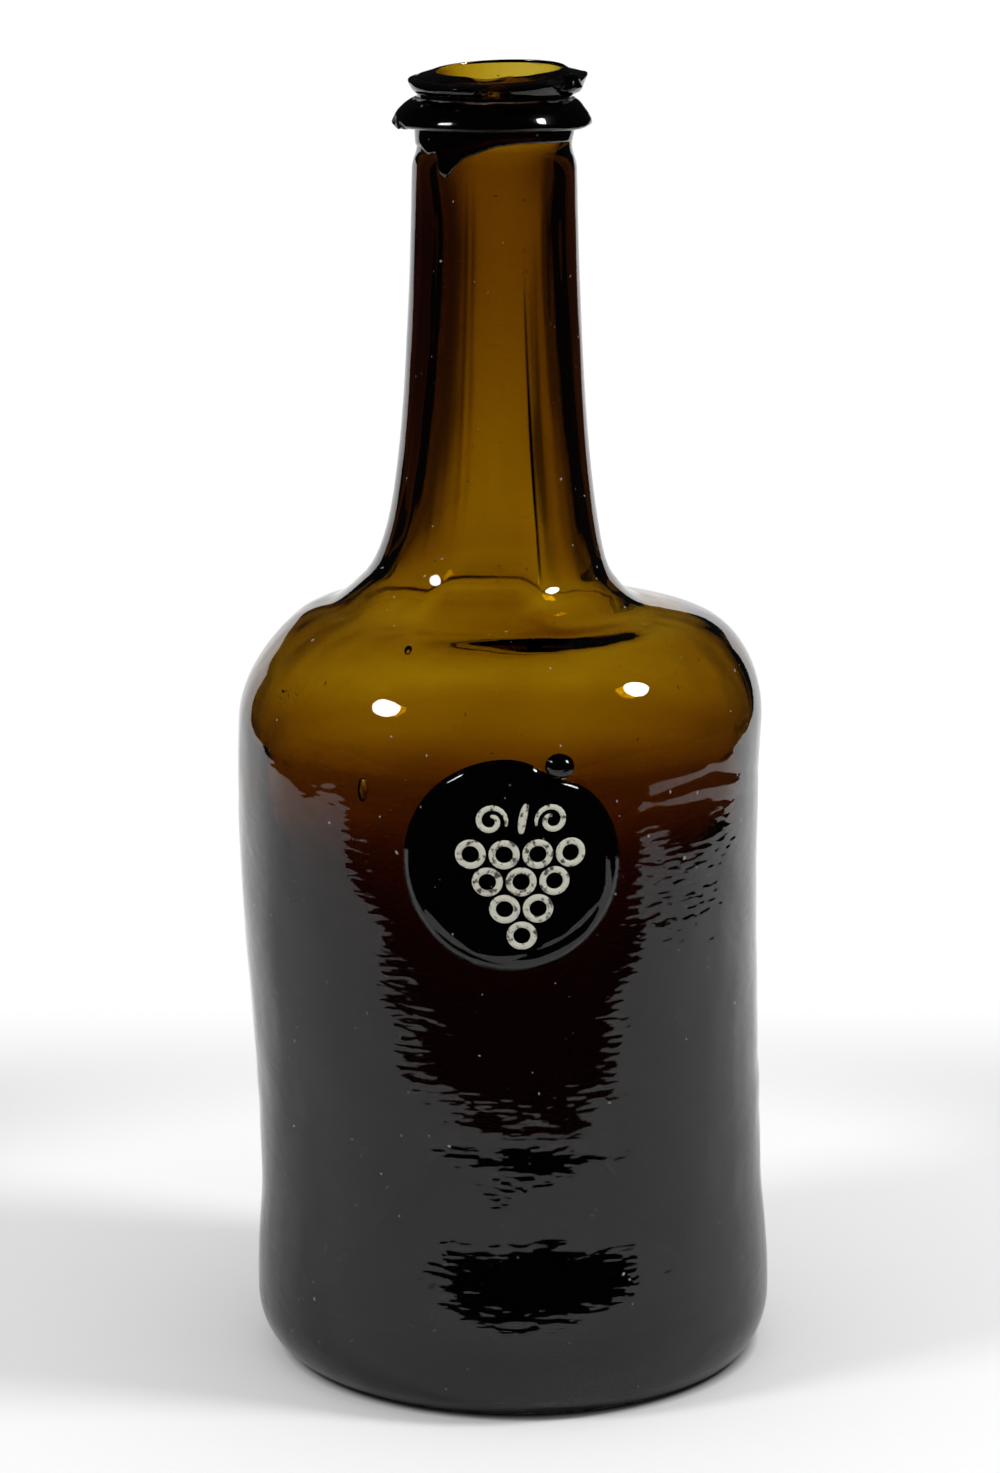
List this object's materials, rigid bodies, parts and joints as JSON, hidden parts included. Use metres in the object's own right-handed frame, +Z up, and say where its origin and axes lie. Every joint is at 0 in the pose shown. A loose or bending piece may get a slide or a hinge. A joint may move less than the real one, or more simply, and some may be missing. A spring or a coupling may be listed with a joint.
{
  "type": "sealed wine bottle",
  "caption": "Free-blown dark olive glass wine bottle, cylindrical body with kick-up, long tapering neck, tooled double finish and an applied round seal on the front.",
  "frame": {"origin": "on the floor, under the middle of the whole bottle's box", "axes": "+Z up along the bottle towards its mouth, -Y towards the seal, +X to the right of someone who faces the seal"},
  "size_m": [0.1068, 0.1072, 0.2579],
  "materials": {
    "body_glass": "dark olive-amber free-blown glass, glossy, with fine scratches and seeds",
    "finish_glass": "the same glass laid on thick, nearly black, glossy, with conchoidal chips",
    "seal_glass": "the same glass pressed thick, nearly black, glossy, with a pale fill in the stamped ornament",
    "scar_glass": "broken edge of the pontil's glass, sharp and satin"
  },
  "bodies": {
    "root": {"bottle_body": "body_glass", "lip_ring": "finish_glass", "string_rim": "finish_glass", "rim_apron": "finish_glass", "seal_pad": "seal_glass", "seal_tail": "seal_glass", "pontil_scar": "scar_glass"}
  },
  "joints": []
}
